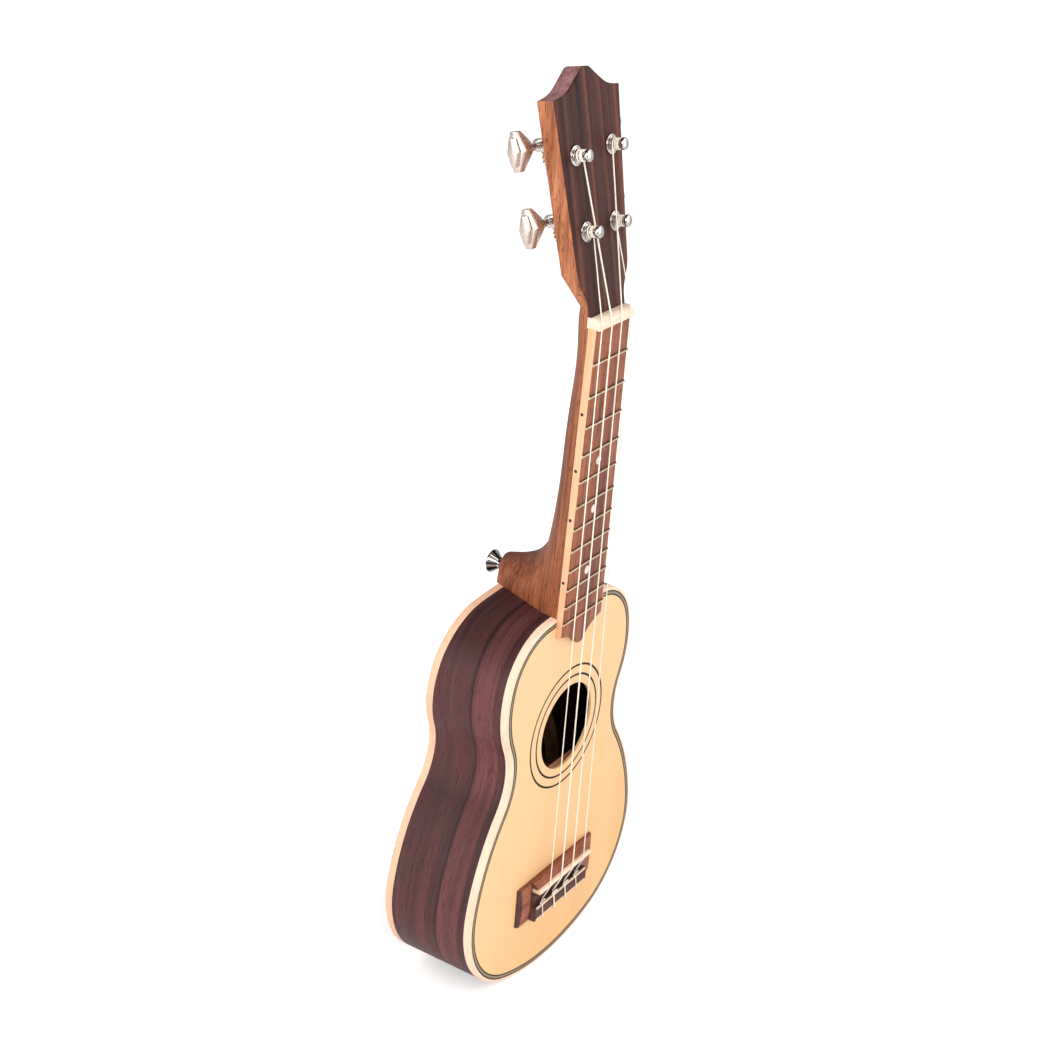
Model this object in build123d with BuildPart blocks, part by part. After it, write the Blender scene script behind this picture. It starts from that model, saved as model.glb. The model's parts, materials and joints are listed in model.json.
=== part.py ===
from build123d import *
import os
from math import asin, atan2, cos, degrees, hypot, pi, radians, sin, sqrt, tan

os.makedirs("parts", exist_ok=True)

# Frame: millimetres, +Z up along the neck, the soundboard faces -Y, +X is the treble side.
# The origin lies on the flat of the back, on the centre line, straight behind the nominal
# end of the scale, one millimetre above the crown of the saddle.
face_y = -60.0            # soundboard plane; the body is 60 deep at the lower bout
scale_length = 345.0      # nut to saddle, soprano
back_flat_top = 20.0      # the back is flat up to this station, arched above it
back_arch_radius = 1150.0

# Body outline, outer edge of the binding: radius and turn of each tangent arc, tail first.
tail_z = -64.6
arc_radii = [142.5, 59.4, 138.6, -38.7, 58.0, 38.6]
arc_turns = [20.0, 79.8, 25.65, -61.05, 41.05, 68.75]
top_turn = 180.0 - sum(arc_turns)

top_thick = 1.5
back_thick = 2.2
side_thick = 2.0
top_binding_height = 4.4
back_binding_height = 5.0
purfling_lines = [(2.0, 2.8), (2.8, 4.2), (4.2, 5.0)]
purfling_depth = 1.0

hole_z = 97.2
hole_radius = 26.6
rosette_radii = [31.9, 37.9]
rosette_width = 1.3

nut_half = 17.3           # half width of the fretboard at the nut, over the bindings
board_flare = 0.0249      # growth of that half width per mm towards the body
board_end_z = 164.5
board_thick_12 = 3.6      # fretboard height at the twelfth fret
board_rise = 0.0129       # the board gains this much height per mm towards the nut
board_binding = 0.4
neck_rise = 0.0068        # the neck surface gains this much height per mm beyond the body
body_top_z = 176.0
fret_count = 12
fret_height = 0.9
fret_width = 2.0
nut_length = 6.0
nut_top = 8.2             # height over the soundboard plane

head_tilt = 12.0
head_origin_z = 348.0
head_origin_height = 2.7
head_thick = 11.4
veneer_thick = 1.6
head_half_low = 24.2
head_half_top = 30.25

string_names = ["g", "c", "e", "a"]
string_radii = [0.32, 0.45, 0.40, 0.30]
nut_x = [-15.0, -5.0, 5.0, 15.0]
saddle_x = [-18.6, -6.2, 6.2, 18.6]
string_nut_height = 7.95
string_notch = 0.1        # how far a string sinks into the crown of the saddle

bridge_front = 3.6
bridge_back = -22.5
bridge_half = 40.0
wing_edge = 2.2           # thickness of the bridge wings along their long edges
wing_height = 3.1         # and along their middle
wing_tip = 0.8            # and at their ends
wing_bevel = 2.3          # length of the slope at a wing end
block_half = 28.0
saddle_top = 9.3
saddle_z = -1.0           # middle of the saddle, set back from the nominal scale length
saddle_thick = 2.8
tie_front = -13.0
tie_back = -21.5
tie_height = 7.0
tie_hole_height = 4.6

post_upper = (17.4, 87.3)
post_lower = (14.2, 47.8)
worm_offset = 7.0         # worm axis above the post centre
worm_depth = 15.6         # worm axis behind the front of the headstock
gear_teeth = 14
thread_pitch = 2.3
gear_pitch_radius = gear_teeth * thread_pitch / (2 * pi)
worm_pitch_radius = worm_offset - gear_pitch_radius

strap_z = 184.5
heel_depth = 50.6


def board_half(z):
    return nut_half + board_flare * (scale_length - z)


def board_height(z):
    return board_thick_12 + board_rise * (z - scale_length / 2)


def neck_height(z):
    return neck_rise * (z - body_top_z)


def fret_z(n):
    return scale_length * 2 ** (-n / 12)


head_front = Plane(
    origin=(0, face_y - head_origin_height, head_origin_z),
    x_dir=(1, 0, 0),
    z_dir=(0, -cos(radians(head_tilt)), sin(radians(head_tilt))),
)
board_plane = Plane(
    origin=(0, face_y - board_thick_12, scale_length / 2),
    x_dir=(1, 0, 0),
    z_dir=(0, -1, -board_rise),
)
top_plane = Plane.XZ.offset(-face_y)


def half_outline(inset):
    """Right half of the body outline moved inwards by inset, as a chain of tangent arcs."""
    start = Vector(0, tail_z + inset)
    tangent = Vector(1, 0)
    for radius, turn in zip(arc_radii, arc_turns):
        size = abs(radius) - inset if radius > 0 else abs(radius) + inset
        arc = JernArc(start=start, tangent=tangent, radius=size, arc_size=turn)
        start = arc @ 1
        tangent = arc % 1
    JernArc(start=start, tangent=tangent, radius=start.X / sin(radians(top_turn)), arc_size=top_turn)


def outline_face(inset, mode=Mode.ADD):
    """Whole outline as a face in the current sketch."""
    with BuildLine(Plane.XY) as edge:
        half_outline(inset)
        mirror(about=Plane.YZ)
    make_face(edge.edges(), mode=mode)


def keep_between(front_inset, back_inset, mode=Mode.INTERSECT):
    """Keep what lies between the soundboard plane and the back, each moved inwards."""
    reach = 170.0
    radius = back_arch_radius - back_inset
    height = sqrt(radius**2 - reach**2) - back_arch_radius
    mid_reach = reach / 2
    mid_height = sqrt(radius**2 - mid_reach**2) - back_arch_radius
    with BuildSketch(Plane.YZ) as side_view:
        with BuildLine() as edge:
            Polyline(
                (height, back_flat_top + reach),
                (face_y + front_inset, back_flat_top + reach),
                (face_y + front_inset, -80),
                (-back_inset, -80),
                (-back_inset, back_flat_top),
            )
            ThreePointArc(
                (-back_inset, back_flat_top),
                (mid_height, back_flat_top + mid_reach),
                (height, back_flat_top + reach),
            )
        make_face()
    extrude(side_view.sketch, amount=120, both=True, mode=mode)


def ring(inner_inset, outer_inset):
    """Hoop that follows the outline, as deep as the body."""
    with BuildSketch(Plane.XZ.offset(-10)) as hoop:
        outline_face(outer_inset)
        outline_face(inner_inset, Mode.SUBTRACT)
    extrude(hoop.sketch, amount=80)


def rosette_ring(radius):
    """Narrow ring round the soundhole, for the current sketch."""
    with Locations((0, hole_z)):
        Circle(radius + rosette_width / 2)
        Circle(radius - rosette_width / 2, mode=Mode.SUBTRACT)


# ---------------------------------------------------------------- body shell
with BuildPart() as soundboard:
    with BuildSketch(top_plane):
        outline_face(side_thick)
        with Locations((0, hole_z)):
            Circle(hole_radius, mode=Mode.SUBTRACT)
    extrude(amount=-top_thick)
    with BuildSketch(top_plane):
        outline_face(purfling_lines[0][0])
        outline_face(purfling_lines[-1][1], Mode.SUBTRACT)
    extrude(amount=-purfling_depth, mode=Mode.SUBTRACT)
    for radius in rosette_radii:
        with BuildSketch(top_plane):
            rosette_ring(radius)
        extrude(amount=-purfling_depth, mode=Mode.SUBTRACT)

with BuildPart() as rosette_rings:
    for radius in rosette_radii:
        with BuildSketch(top_plane):
            rosette_ring(radius)
        extrude(amount=-purfling_depth)

purfling_strips = []
for outer, inner in purfling_lines:
    with BuildPart() as strip:
        with BuildSketch(top_plane):
            outline_face(outer)
            outline_face(inner, Mode.SUBTRACT)
        extrude(amount=-purfling_depth)
    purfling_strips.append(strip.part)

with BuildPart() as back_plate:
    with BuildSketch(Plane.XZ.offset(-10)):
        outline_face(side_thick)
    extrude(amount=40)
    keep_between(0, 0)
    keep_between(0, back_thick, Mode.SUBTRACT)

with BuildPart() as side_hoop:
    ring(side_thick, 0)
    keep_between(top_binding_height, back_binding_height)

with BuildPart() as side_bass:
    add(side_hoop.part)
    split(bisect_by=Plane.YZ, keep=Keep.BOTTOM)

with BuildPart() as side_treble:
    add(side_hoop.part)
    split(bisect_by=Plane.YZ, keep=Keep.TOP)

with BuildPart() as top_binding:
    with BuildSketch(top_plane):
        outline_face(0)
        outline_face(side_thick, Mode.SUBTRACT)
    extrude(amount=-top_binding_height)

with BuildPart() as back_binding:
    ring(side_thick, 0)
    keep_between(0, 0)
    keep_between(0, back_binding_height, Mode.SUBTRACT)

# ---------------------------------------------------------------- inside the body
block_half_width = 26.0
neck_block_low = 154.0
tail_block_high = -50.0
lining_width = 5.0
lining_height = 7.0

with BuildPart() as neck_block:
    with BuildSketch(Plane.XZ.offset(-10)):
        outline_face(side_thick)
        with Locations((0, neck_block_low + 30)):
            Rectangle(2 * block_half_width, 60, mode=Mode.INTERSECT)
    extrude(amount=80)
    keep_between(top_thick, back_thick)

with BuildPart() as tail_block:
    with BuildSketch(Plane.XZ.offset(-10)):
        outline_face(side_thick)
        with Locations((0, tail_block_high - 30)):
            Rectangle(2 * block_half_width, 60, mode=Mode.INTERSECT)
    extrude(amount=80)
    keep_between(top_thick, back_thick)


def clear_blocks():
    """Stop a hoop at the neck block and the tail block."""
    with BuildSketch(Plane.XZ.offset(-20)) as windows:
        with Locations((0, neck_block_low + 30), (0, tail_block_high - 30)):
            Rectangle(2 * block_half_width, 60)
    extrude(windows.sketch, amount=100, mode=Mode.SUBTRACT)


with BuildPart() as top_lining:
    ring(side_thick + lining_width, side_thick)
    keep_between(top_thick, 30)
    keep_between(top_thick + lining_height, 20, Mode.SUBTRACT)
    clear_blocks()

with BuildPart() as back_lining:
    ring(side_thick + lining_width, side_thick)
    keep_between(20, back_thick)
    keep_between(10, back_thick + lining_height, Mode.SUBTRACT)
    clear_blocks()

brace_inset = side_thick + lining_width + 0.3

with BuildPart() as top_braces:
    with BuildSketch(top_plane.offset(-top_thick)):
        outline_face(brace_inset)
        with Locations((0, 141), (0, 63)):
            Rectangle(200, 6, mode=Mode.INTERSECT)
    extrude(amount=-8)
    with BuildSketch(top_plane.offset(-top_thick)):
        with Locations(Location((0, 32))):
            Rectangle(5, 34)
        with Locations(Location((-30, 31), -12), Location((30, 31), 12)):
            Rectangle(5, 34)
        with Locations((0, -40)):
            Rectangle(5, 16)
    extrude(amount=-5)

with BuildPart() as bridge_plate:
    with BuildSketch(top_plane.offset(-top_thick)):
        with Locations((0, -9)):
            Rectangle(100, 40)
    extrude(amount=-2)

with BuildPart() as back_braces:
    with BuildSketch(Plane.XZ.offset(-10)):
        outline_face(brace_inset)
        with Locations((0, 128), (0, 72), (0, 8)):
            Rectangle(200, 7, mode=Mode.INTERSECT)
    extrude(amount=80)
    keep_between(10, back_thick)
    keep_between(9, back_thick + 8, Mode.SUBTRACT)


# ---------------------------------------------------------------- places on the headstock
def post_places():
    """Post centres on the headstock: string, side, x, distance along the head."""
    return [
        ("g", -1, -post_lower[0], post_lower[1]),
        ("c", -1, -post_upper[0], post_upper[1]),
        ("e", 1, post_upper[0], post_upper[1]),
        ("a", 1, post_lower[0], post_lower[1]),
    ]


post_points = [(x, s) for _, _, x, s in post_places()]
screw_offsets = [(6.6, -7.6), (0.0, 12.9)]     # from the post, first value inwards


def screw_points():
    return [(x - side * dx, s + ds) for _, side, x, s in post_places() for dx, ds in screw_offsets]


bushing_radius = 4.0
post_radius = 3.0
running = 0.05            # radial clearance of everything that turns
veneer_low_z = head_origin_z + 5.0
head_core = head_front.offset(-veneer_thick)


# ---------------------------------------------------------------- neck
def head_edge(s):
    """Half width of the headstock at a distance along it."""
    return head_half_low + (head_half_top - head_half_low) * (s - 32.0) / (116.6 - 32.0)


def head_outline(low):
    """Headstock face from the shoulders to the crown, mirrored about the centre line."""
    shoulder_s = 27.0
    with BuildLine(Plane.XY) as edge:
        Line((0, low), (board_half(head_origin_z) - 0.2, low))
        Line((board_half(head_origin_z) - 0.2, low), (board_half(head_origin_z) - 0.2, 7))
        Spline(
            (board_half(head_origin_z) - 0.2, 7),
            (head_edge(shoulder_s), shoulder_s),
            tangents=[(0, 1), (0.0715, 1)],
            tangent_scalars=[1.2, 1.2],
        )
        Line((head_edge(shoulder_s), shoulder_s), (head_edge(116.6), 116.6))
        Spline(
            (head_edge(116.6), 116.6),
            (19.2, 118.7),
            (11.2, 123.4),
            (4.4, 128.2),
            (0, 129.6),
            tangents=[(-1, 0.16), (-1, 0)],
        )
        mirror(about=Plane.YZ)
    make_face(edge.edges())


def round_back_section(half, depth, fullness):
    """Flat front and a rounded back; fullness 0.55 is an ellipse, 1 is much squarer."""
    with BuildLine(Plane.XY) as edge:
        Line((-half, 0), (half, 0))
        Bezier((half, 0), (half, -fullness * depth), (fullness * half, -depth), (0, -depth))
        Bezier((0, -depth), (-fullness * half, -depth), (-half, -fullness * depth), (-half, 0))
    make_face(edge.edges())


# station along the neck, depth of the back behind the fretboard, fullness of the back
shaft_sections = [
    (205.0, 21.0, 0.62),
    (216.0, 18.3, 0.61),
    (226.0, 16.8, 0.60),
    (238.0, 15.5, 0.58),
    (262.0, 13.8, 0.57),
    (300.0, 11.7, 0.58),
    (340.0, 10.6, 0.60),
]
# distance along the headstock, half width, depth behind the veneer, fullness:
# the round back grows out of the headstock's corners between these two
throat_start = (8.0, 16.9, 9.9, 0.64)
throat_end = (44.0, 36.0, 18.0, 0.9)
# depth behind the soundboard plane, half width, reach beyond the body
heel_sections = [
    (0.0, 21.2, 69.0),
    (9.0, 20.5, 55.5),
    (15.0, 18.9, 46.0),
    (20.0, 17.2, 36.6),
    (28.0, 14.5, 26.0),
    (38.0, 11.2, 20.6),
    (45.0, 9.0, 18.5),
    (49.0, 7.6, 17.0),
    (heel_depth, 6.9, 15.3),
]
joint_z = 172.0
# the wedge under the fretboard stays clear of the shaft's edges by this much
ramp_inset = 0.05


def shaft_section(station, depth, fullness):
    """Neck cross-section at a station, flat against the fretboard."""
    with BuildSketch(Plane((0, face_y, station), x_dir=(1, 0, 0), z_dir=(0, 0, -1))) as cut:
        round_back_section(board_half(station), depth, fullness)
    return cut.sketch


def throat_section(s, half, depth, fullness):
    """Rounded cross-section square to the headstock, flat against the veneer."""
    middle = head_core.from_local_coords((0, s, 0))
    with BuildSketch(Plane(middle, x_dir=(1, 0, 0), z_dir=-head_front.y_dir)) as cut:
        round_back_section(half, depth, fullness)
    return cut.sketch


with BuildPart() as throat:
    with BuildSketch(head_core):
        head_outline(throat_start[0] - 3)
        with Locations((0, throat_end[0] + 40)):
            Rectangle(120, 80, mode=Mode.SUBTRACT)
    extrude(amount=-(head_thick - veneer_thick))
    throat_limit = [throat_section(*throat_start), throat_section(*throat_end)]
    loft(sections=throat_limit, ruled=True, mode=Mode.INTERSECT)

with BuildPart() as neck_ramp:
    with BuildSketch(top_plane):
        with BuildLine():
            Polyline(
                (-board_half(body_top_z) + ramp_inset, body_top_z),
                (board_half(body_top_z) - ramp_inset, body_top_z),
                (nut_half - ramp_inset, scale_length),
                (-nut_half + ramp_inset, scale_length),
                close=True,
            )
        make_face()
    extrude(amount=neck_height(scale_length))
    with BuildSketch(Plane.YZ):
        with BuildLine():
            Polyline(
                (face_y, body_top_z),
                (face_y - neck_height(scale_length + 10), scale_length + 10),
                (face_y, scale_length + 10),
                close=True,
            )
        make_face()
    extrude(amount=40, both=True, mode=Mode.INTERSECT)

with BuildPart() as neck:
    shaft = [shaft_section(*row) for row in shaft_sections]
    loft(sections=shaft + [throat_section(*throat_start)])
    add(throat.part)
    loft(sections=[shaft_section(joint_z, 21.0, 0.62), shaft_section(*shaft_sections[0])])
    for depth, half, rise in heel_sections:
        with BuildSketch(Plane((0, face_y + depth, joint_z), x_dir=(1, 0, 0), z_dir=(0, -1, 0))):
            with BuildLine():
                Line((-half, 0), (half, 0))
                EllipticalCenterArc((0, 0), half, rise + body_top_z - joint_z, start_angle=0, arc_size=180)
            make_face()
    loft()
    with BuildSketch(head_core):
        head_outline(throat_start[0] - 3)
        with Locations((0, throat_end[0] - 40)):
            Rectangle(120, 80, mode=Mode.SUBTRACT)
    extrude(amount=-(head_thick - veneer_thick))
    with BuildSketch(top_plane):
        with BuildLine():
            Polyline(
                (-board_half(330) + 0.1, 330),
                (board_half(330) - 0.1, 330),
                (board_half(360) - 0.1, 360),
                (-board_half(360) + 0.1, 360),
                close=True,
            )
        make_face()
    extrude(amount=-1.6)
    with BuildSketch(top_plane):
        with Locations((0, 300)):
            Rectangle(120, 400)
    extrude(amount=30, mode=Mode.SUBTRACT)
    with BuildSketch(head_core):
        with Locations((0, 20)):
            Rectangle(120, 60)
    extrude(amount=10, mode=Mode.SUBTRACT)
    add(neck_ramp.part)
    with BuildSketch(Plane.XZ.offset(-10)):
        outline_face(0)
    extrude(amount=80, mode=Mode.SUBTRACT)
    with BuildSketch(Plane.XZ.offset(-(face_y + heel_depth))):
        with Locations((0, strap_z)):
            Circle(1.55)
    extrude(amount=17, mode=Mode.SUBTRACT)
    with BuildSketch(head_front):
        with Locations(post_points):
            Circle(bushing_radius)
    extrude(amount=-20, mode=Mode.SUBTRACT)
    with BuildSketch(head_front.offset(-head_thick)):
        with Locations(screw_points()):
            Circle(0.8)
    extrude(amount=6, mode=Mode.SUBTRACT)


with BuildPart() as head_veneer:
    with BuildSketch(head_core):
        head_outline(1)
    extrude(amount=veneer_thick)
    with BuildSketch(head_core):
        with Locations((0, 4)):
            Rectangle(2 * board_half(head_origin_z) - 0.4, 6)
    extrude(amount=-0.8)
    with BuildSketch(top_plane):
        with Locations((0, veneer_low_z - 20)):
            Rectangle(120, 40)
    extrude(amount=-20, mode=Mode.SUBTRACT)
    with BuildSketch(head_core):
        with Locations((0, 20 + (veneer_low_z - head_origin_z) / cos(radians(head_tilt)))):
            Rectangle(120, 40.6)
    extrude(amount=-5, mode=Mode.SUBTRACT)
    with BuildSketch(Plane.XY.offset(scale_length + nut_length)):
        with Locations((0, face_y)):
            Rectangle(120, 120)
    extrude(amount=-60, mode=Mode.SUBTRACT)
    with BuildSketch(head_front):
        with Locations(post_points):
            Circle(bushing_radius)
    extrude(amount=-10, mode=Mode.SUBTRACT)


# ---------------------------------------------------------------- fretboard
def wedge():
    """Keep what lies between the neck and the sloping top of the fretboard."""
    low_z = 140.0
    high_z = 360.0
    with BuildSketch(Plane.YZ) as side_view:
        with BuildLine() as edge:
            Polyline(
                (face_y, low_z),
                (face_y - board_height(low_z), low_z),
                (face_y - board_height(high_z), high_z),
                (face_y - neck_height(high_z), high_z),
                (face_y, body_top_z),
                close=True,
            )
        make_face(edge.edges())
    extrude(side_view.sketch, amount=60, both=True, mode=Mode.INTERSECT)


dot_frets = [5, 7, 10]
side_dot_frets = [3, 5, 7, 10]


def dot_z(n):
    return (fret_z(n) + fret_z(n - 1)) / 2


def side_dot_point(n):
    """Place of a side dot: a little below the middle of the fretboard edge and of its fret space."""
    z = dot_z(n) - 1.3
    return face_y - neck_height(z) - 0.38 * (board_height(z) - neck_height(z)), z


with BuildPart() as fretboard:
    with BuildSketch(top_plane):
        with BuildLine() as edge:
            end_half = board_half(board_end_z) - board_binding
            Polyline((0, scale_length), (nut_half - board_binding, scale_length), (end_half, board_end_z))
            Spline(
                (end_half, board_end_z),
                (10.5, 160.8),
                (5.6, 157.2),
                (0, 153.6),
                tangents=[(-1, -0.25), (-1, 0)],
            )
            mirror(about=Plane.YZ)
        make_face()
    extrude(amount=12)
    wedge()
    for n in range(1, fret_count + 1):
        with BuildSketch(board_plane):
            with Locations((0, (fret_z(n) - scale_length / 2) * sqrt(1 + board_rise**2))):
                Rectangle(60, 0.6)
        extrude(amount=-1.8, mode=Mode.SUBTRACT)
    for n in dot_frets:
        with BuildSketch(board_plane):
            with Locations((0, dot_z(n) - scale_length / 2)):
                Circle(2.5)
        extrude(amount=-1.0, mode=Mode.SUBTRACT)

with BuildPart() as fret_dots:
    for n in dot_frets:
        with BuildSketch(board_plane):
            with Locations((0, dot_z(n) - scale_length / 2)):
                Circle(2.48)
        extrude(amount=-0.98)

with BuildPart() as fretboard_bindings:
    for side in (-1, 1):
        with BuildSketch(top_plane):
            with BuildLine() as edge:
                Polyline(
                    (side * nut_half, scale_length),
                    (side * board_half(board_end_z), board_end_z),
                    (side * (board_half(board_end_z) - board_binding), board_end_z),
                    (side * (nut_half - board_binding), scale_length),
                    close=True,
                )
            make_face()
        extrude(amount=12)
    wedge()
    for n in side_dot_frets:
        with BuildSketch(Plane.YZ.offset(-(board_half(dot_z(n)) - 0.25))):
            with Locations(side_dot_point(n)):
                Circle(1.0)
        extrude(amount=-5, mode=Mode.SUBTRACT)

with BuildPart() as side_dots:
    for n in side_dot_frets:
        with BuildSketch(Plane.YZ.offset(-(board_half(dot_z(n)) - 0.24))):
            with Locations(side_dot_point(n)):
                Circle(0.98)
        extrude(amount=-0.28)

with BuildPart() as frets:
    for n in range(1, fret_count + 1):
        along = (fret_z(n) - scale_length / 2) * sqrt(1 + board_rise**2)
        half = board_half(fret_z(n)) - 0.35
        section = Plane(
            board_plane.from_local_coords((0, along, 0)),
            x_dir=board_plane.y_dir,
            z_dir=(1, 0, 0),
        )
        with BuildSketch(section):
            with BuildLine():
                Line((-fret_width / 2, 0), (fret_width / 2, 0))
                ThreePointArc((fret_width / 2, 0), (0, fret_height), (-fret_width / 2, 0))
            make_face()
        extrude(amount=half, both=True)
        with BuildSketch(board_plane):
            with Locations((0, along)):
                Rectangle(2 * (half - 1.6), 0.5)
        extrude(amount=-1.7)

# ---------------------------------------------------------------- strings
def rounded_path(points, radii):
    """Lines through the points with a tangent arc at every inner corner."""
    points = [Vector(*p) for p in points]
    start = points[0]
    for k in range(1, len(points) - 1):
        to_here = (points[k] - points[k - 1]).normalized()
        onward = (points[k + 1] - points[k]).normalized()
        turn = radians(to_here.get_angle(onward))
        trim = radii[k - 1] * tan(turn / 2)
        first = points[k] - to_here * trim
        last = points[k] + onward * trim
        bisector = (onward - to_here).normalized()
        middle = points[k] + bisector * radii[k - 1] * (1 / cos(turn / 2) - 1)
        Line(start, first)
        ThreePointArc(first, middle, last)
        start = last
    Line(start, points[-1])


wrap_radius = 2.78        # centre line of a string wound on a post
wrap_height = 2.65        # height of the first turn over the headstock
coil_height = 3.62        # where the turning coil starts
coil_pitch = 0.94
coil_turns = 2.6


def string_route(k):
    """Corner points of a string from the nut to its knot on the bridge."""
    xs = saddle_x[k]
    hole_y = face_y - tie_hole_height
    over_y = face_y - tie_height - string_radii[k] - 0.08
    front_z = tie_front + string_radii[k] + 0.12
    rear_z = bridge_back - string_radii[k] - 0.12
    knot_y = hole_y - 3.2 * string_radii[k] - 0.1
    return [
        (nut_x[k], face_y - string_nut_height, scale_length + 2.6),
        (xs, face_y - saddle_top - string_radii[k] + string_notch, saddle_z),
        (xs, hole_y, tie_front + 0.6),
        (xs, hole_y, rear_z),
        (xs - 1.4, over_y, rear_z),
        (xs - 3.6, over_y, front_z),
        (xs - 3.6, knot_y, front_z),
        (xs + 2.0, knot_y, front_z + 0.3),
    ]


def post_tangent(k):
    """Where the string leaves the inner side of its post, in headstock coordinates."""
    _, side, px, ps = post_places()[k]
    nut_local = head_front.to_local_coords(Vector(*string_route(k)[0]))
    dx = px - nut_local.X
    ds = ps - nut_local.Y
    reach = hypot(dx, ds)
    swing = asin(wrap_radius / reach)
    heading = atan2(ds, dx) + side * swing
    length = sqrt(reach**2 - wrap_radius**2)
    tangent_x = nut_local.X + length * cos(heading)
    tangent_s = nut_local.Y + length * sin(heading)
    return nut_local, (tangent_x, tangent_s), heading


def post_wrap(k):
    """Three quarters of a turn of the string round its post, running into the straight string."""
    _, _, px, ps = post_places()[k]
    nut_local, (tx, ts), _ = post_tangent(k)
    centre = head_front.from_local_coords((px, ps, wrap_height))
    leave = head_front.from_local_coords((tx, ts, wrap_height))
    outward = (leave - centre).normalized()
    onward = (Vector(*string_route(k)[0]) - leave).normalized()
    points = []
    for turn in (270.0, 135.0, 0.0):
        angle = radians(turn)
        points.append(centre + (outward * cos(angle) - onward * sin(angle)) * wrap_radius)
    return points


def string_groove(points, radius, k):
    """Room for string k where it bends over the nut or the saddle."""
    with BuildPart(mode=Mode.PRIVATE) as groove:
        with BuildLine() as path:
            rounded_path(points, [radius])
        with BuildSketch(Plane(origin=path.wires()[0] @ 0, z_dir=path.wires()[0] % 0)) as tip:
            Circle(string_radii[k] + 0.04)
        sweep(sections=tip.sketch, path=path.wires()[0])
    return groove.part


string_parts = []
for k in range(4):
    wrap = post_wrap(k)
    route = string_route(k)
    with BuildPart() as string:
        with BuildLine() as path:
            ThreePointArc(*wrap)
            rounded_path([wrap[2]] + route, [5.0, 3.0, 2.0, 1.0, 1.0, 0.65, 0.6])
        with BuildSketch(Plane(origin=path.wires()[0] @ 0, z_dir=path.wires()[0] % 0)) as tip:
            Circle(string_radii[k])
        sweep(sections=tip.sketch, path=path.wires()[0], transition=Transition.ROUND)
    string_parts.append(string.part)


# ---------------------------------------------------------------- string coils
coil_parts = []
for k, (_, side, px, ps) in enumerate(post_places()):
    centre = head_front.from_local_coords((px, ps, coil_height))
    with BuildPart() as coil:
        with BuildLine() as path:
            Helix(
                pitch=coil_pitch,
                height=coil_pitch * coil_turns,
                radius=wrap_radius,
                center=centre,
                direction=head_front.z_dir,
                lefthand=side > 0,
            )
        with BuildSketch(Plane(origin=path.wires()[0] @ 0, z_dir=path.wires()[0] % 0)) as tip:
            Circle(string_radii[k])
        sweep(sections=tip.sketch, path=path.wires()[0], is_frenet=True)
    coil_parts.append(coil.part)

# ---------------------------------------------------------------- nut, bridge, saddle
with BuildPart() as nut:
    with BuildSketch(Plane.YZ):
        with BuildLine():
            Polyline(
                (face_y - 5.0, scale_length + nut_length),
                (face_y, scale_length + nut_length),
                (face_y, scale_length),
                (face_y - nut_top, scale_length),
                (face_y - nut_top, scale_length + 2.0),
            )
            ThreePointArc(
                (face_y - nut_top, scale_length + 2.0),
                (face_y - nut_top + 0.8, scale_length + 4.2),
                (face_y - 5.0, scale_length + nut_length),
            )
        make_face()
    extrude(amount=nut_half - 0.15, both=True)
    fillet(nut.edges().filter_by(Axis.X).sort_by(Axis.Y)[0:1], radius=0.4)
    for k in range(4):
        add(string_groove([post_wrap(k)[2]] + string_route(k)[0:2], 5.0, k), mode=Mode.SUBTRACT)

with BuildPart() as bridge:
    with BuildSketch(Plane.YZ):
        with BuildLine():
            Polyline((face_y, bridge_front), (face_y, bridge_back), (face_y - wing_edge, bridge_back))
            ThreePointArc(
                (face_y - wing_edge, bridge_back),
                (face_y - wing_height, (bridge_front + bridge_back) / 2),
                (face_y - wing_edge, bridge_front),
            )
            Line((face_y - wing_edge, bridge_front), (face_y, bridge_front))
        make_face()
    extrude(amount=bridge_half, both=True)
    for side in (-1, 1):
        with BuildSketch(Plane.XY.offset(bridge_back - 2)):
            with BuildLine():
                Polyline(
                    (side * (bridge_half + 1), face_y - wing_tip),
                    (side * bridge_half, face_y - wing_tip),
                    (side * (bridge_half - 2 * wing_bevel), face_y - 2 * wing_height + wing_tip),
                    (side * (bridge_half + 1), face_y - 2 * wing_height + wing_tip),
                    close=True,
                )
            make_face()
        extrude(amount=bridge_front - bridge_back + 4, mode=Mode.SUBTRACT)
    with BuildSketch(Plane.YZ):
        with BuildLine():
            Polyline(
                (face_y - 1.4, bridge_front),
                (face_y, bridge_front),
                (face_y, bridge_back),
                (face_y - 6.2, bridge_back),
                (face_y - tie_height, tie_back),
                (face_y - tie_height, tie_front),
                (face_y - 3.6, tie_front),
                (face_y - 3.9, -5.4),
                (face_y - 6.4, -3.8),
                (face_y - tie_height, -3.2),
                (face_y - tie_height, 0.9),
            )
            ThreePointArc(
                (face_y - tie_height, 0.9),
                (face_y - 5.2, 3.0),
                (face_y - 1.4, bridge_front),
            )
        make_face()
    extrude(amount=block_half, both=True)
    with BuildSketch(Plane.YZ):
        with Locations((face_y - 5.9, saddle_z)):
            Rectangle(5.0, saddle_thick)
    extrude(amount=block_half + 1, both=True, mode=Mode.SUBTRACT)
    with BuildSketch(Plane.XY.offset(tie_front + 2)):
        with Locations([(x, face_y - tie_hole_height) for x in saddle_x]):
            Circle(0.75)
    extrude(amount=-20, mode=Mode.SUBTRACT)
    with BuildSketch(Plane.YZ):
        with Locations((face_y - tie_height, tie_front - 0.5), (face_y - tie_height, tie_back + 0.5)):
            Rectangle(2.0, 1.0)
    extrude(amount=block_half - 0.6, both=True, mode=Mode.SUBTRACT)

with BuildPart() as tie_block_trims:
    with BuildSketch(Plane.YZ):
        with Locations(
            (face_y - tie_height + 0.5, tie_front - 0.5),
            (face_y - tie_height + 0.5, tie_back + 0.5),
        ):
            Rectangle(1.0, 1.0)
    extrude(amount=block_half - 0.6, both=True)

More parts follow.
